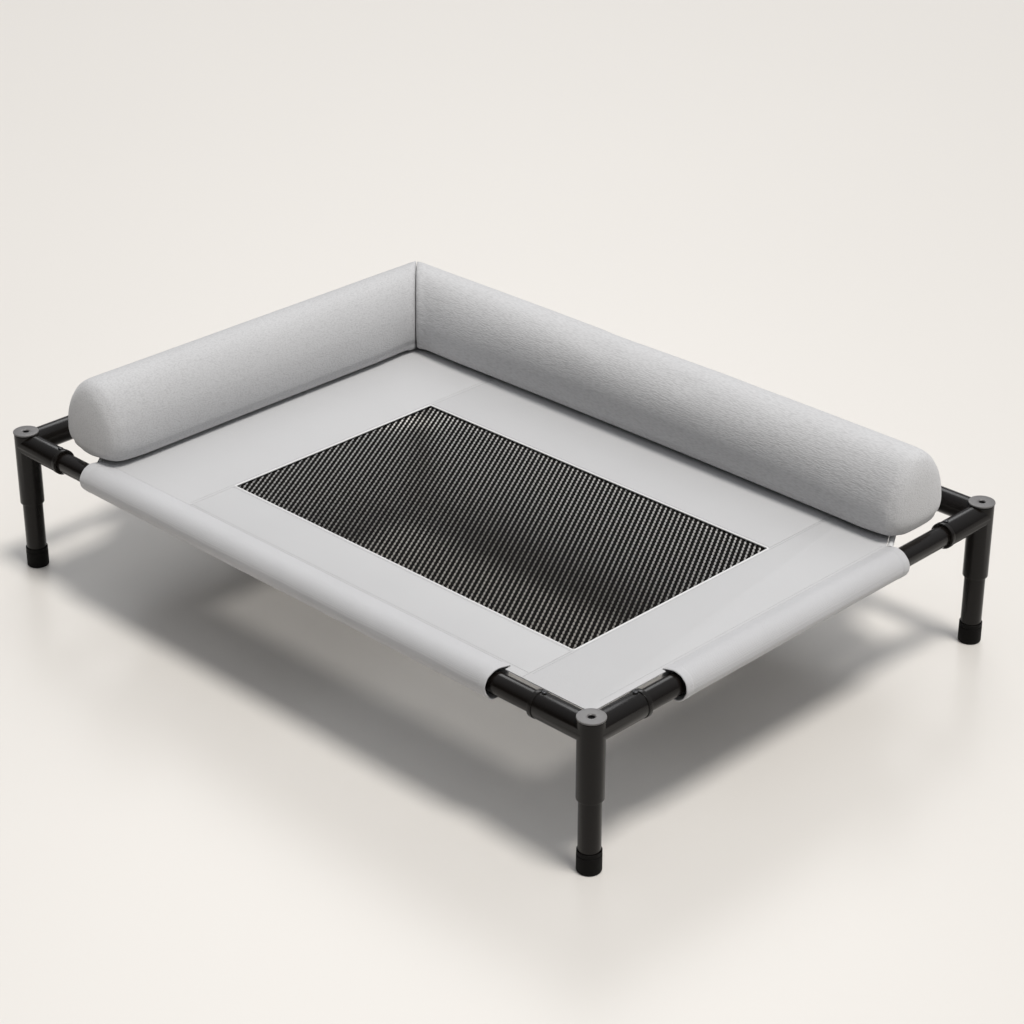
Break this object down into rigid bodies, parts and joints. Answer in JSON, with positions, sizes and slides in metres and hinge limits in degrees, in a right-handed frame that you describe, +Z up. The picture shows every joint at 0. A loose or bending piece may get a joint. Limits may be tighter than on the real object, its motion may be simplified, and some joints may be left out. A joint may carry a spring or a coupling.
{
  "type": "elevated dog bed with bolsters",
  "caption": "Elevated dog bed: black tube frame on four legs, pale fabric deck with a see-through mesh panel, and a mitred pair of stuffed bolsters along two sides.",
  "frame": {"origin": "on the floor, under the centre of the frame", "axes": "+X to the right along the long side, +Y to the back, where the long bolster lies, +Z up; the short bolster lies on the left"},
  "size_m": [1.0078, 0.7178, 0.2865],
  "materials": {
    "connector_plastic": "satin black moulded nylon",
    "cap_plastic": "dark grey moulded disc",
    "frame_tube": "satin black powder coat",
    "black_steel_screw": "blackened steel",
    "insert_steel": "plain zinc",
    "foot_rubber": "matte black",
    "deck_fabric": "smooth matte pale grey woven cloth",
    "mesh_textile": "black see-through woven mesh",
    "bolster_fabric": "soft light grey ribbed cloth",
    "hook_loop_tape": "black hook and loop tape"
  },
  "bodies": {
    "root": {"back_bolster": "bolster_fabric", "back_hook_strip": "hook_loop_tape", "back_loop_strip": "hook_loop_tape", "back_rail": "frame_tube", "back_sleeve": "deck_fabric", "corner_cap_back_left": "cap_plastic", "corner_cap_back_right": "cap_plastic", "corner_cap_front_left": "cap_plastic", "corner_cap_front_right": "cap_plastic", "corner_connector_back_left": "connector_plastic", "corner_connector_back_right": "connector_plastic", "corner_connector_front_left": "connector_plastic", "corner_connector_front_right": "connector_plastic", "deck_band_back": "deck_fabric", "deck_band_front": "deck_fabric", "deck_band_left": "deck_fabric", "deck_band_right": "deck_fabric", "deck_corner_hem_back_left": "deck_fabric", "deck_corner_hem_back_right": "deck_fabric", "deck_corner_hem_front_left": "deck_fabric", "foot_cap_back_left": "foot_rubber", "foot_cap_back_right": "foot_rubber", "foot_cap_front_left": "foot_rubber", "foot_cap_front_right": "foot_rubber", "front_rail": "frame_tube", "front_sleeve": "deck_fabric", "left_bolster": "bolster_fabric", "left_hook_strip": "hook_loop_tape", "left_loop_strip": "hook_loop_tape", "left_rail": "frame_tube", "left_sleeve": "deck_fabric", "leg_bolt_back_left": "black_steel_screw", "leg_bolt_back_right": "black_steel_screw", "leg_bolt_front_left": "black_steel_screw", "leg_bolt_front_right": "black_steel_screw", "leg_insert_back_left": "insert_steel", "leg_insert_back_right": "insert_steel", "leg_insert_front_left": "insert_steel", "leg_insert_front_right": "insert_steel", "leg_tube_back_left": "frame_tube", "leg_tube_back_right": "frame_tube", "leg_tube_front_left": "frame_tube", "leg_tube_front_right": "frame_tube", "mesh_hem": "deck_fabric", "mesh_panel": "mesh_textile", "rail_screw_long_back_left": "black_steel_screw", "rail_screw_long_back_right": "black_steel_screw", "rail_screw_long_front_left": "black_steel_screw", "rail_screw_long_front_right": "black_steel_screw", "rail_screw_short_back_left": "black_steel_screw", "rail_screw_short_back_right": "black_steel_screw", "rail_screw_short_front_left": "black_steel_screw", "rail_screw_short_front_right": "black_steel_screw", "right_rail": "frame_tube", "right_sleeve": "deck_fabric"}
  },
  "joints": []
}
